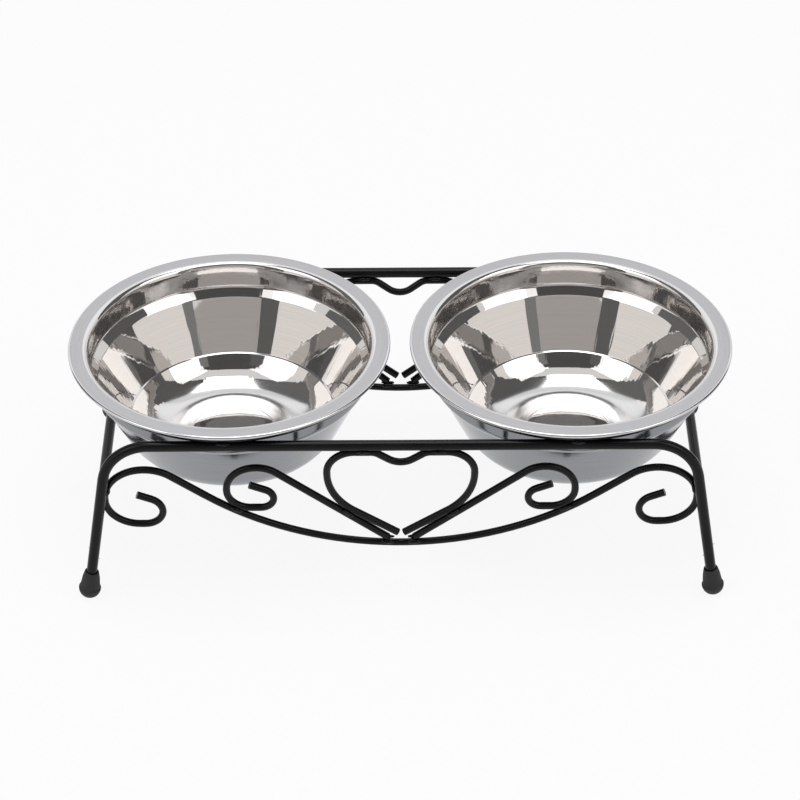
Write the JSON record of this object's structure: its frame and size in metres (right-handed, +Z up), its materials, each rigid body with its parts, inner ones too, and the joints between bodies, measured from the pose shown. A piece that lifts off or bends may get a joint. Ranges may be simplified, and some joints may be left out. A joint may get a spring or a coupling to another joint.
{
  "type": "dog feeder stand",
  "caption": "Raised pet feeder: a bent-wire stand with heart and scroll panels and rubber-tipped legs, holding lift-out steel bowls in welded rings.",
  "frame": {"origin": "on the floor, midway between the four feet", "axes": "+X along the rails to the right, +Y from the front rail to the rear rail, +Z up"},
  "size_m": [0.313, 0.152, 0.0955],
  "materials": {
    "black_coat": "semi-gloss black powder coat",
    "foot_rubber": "matt",
    "bowl_steel": "brushed flange, polished inside, satin outside"
  },
  "bodies": {
    "stand": {"front_frame": "black_coat", "rear_frame": "black_coat", "left_bowl_ring": "black_coat", "right_bowl_ring": "black_coat", "front_heart": "black_coat", "rear_heart": "black_coat", "front_long_scroll": "black_coat", "rear_long_scroll": "black_coat", "front_left_inner_scroll": "black_coat", "front_right_inner_scroll": "black_coat", "rear_left_inner_scroll": "black_coat", "rear_right_inner_scroll": "black_coat", "left_side_stretcher": "black_coat", "right_side_stretcher": "black_coat", "front_welds": "black_coat", "rear_welds": "black_coat", "ring_welds": "black_coat", "stretcher_welds": "black_coat", "front_left_foot": "foot_rubber", "front_right_foot": "foot_rubber", "rear_left_foot": "foot_rubber", "rear_right_foot": "foot_rubber"},
    "left_bowl": {"left_bowl": "bowl_steel"},
    "right_bowl": {"right_bowl": "bowl_steel"}
  },
  "joints": [
    {"name": "left_bowl_lift", "type": "slide", "parent": "stand", "child": "left_bowl", "axis": [0, 0, 1], "range_m": [0, 0.08]},
    {"name": "right_bowl_lift", "type": "slide", "parent": "stand", "child": "right_bowl", "axis": [0, 0, 1], "range_m": [0, 0.08]}
  ]
}
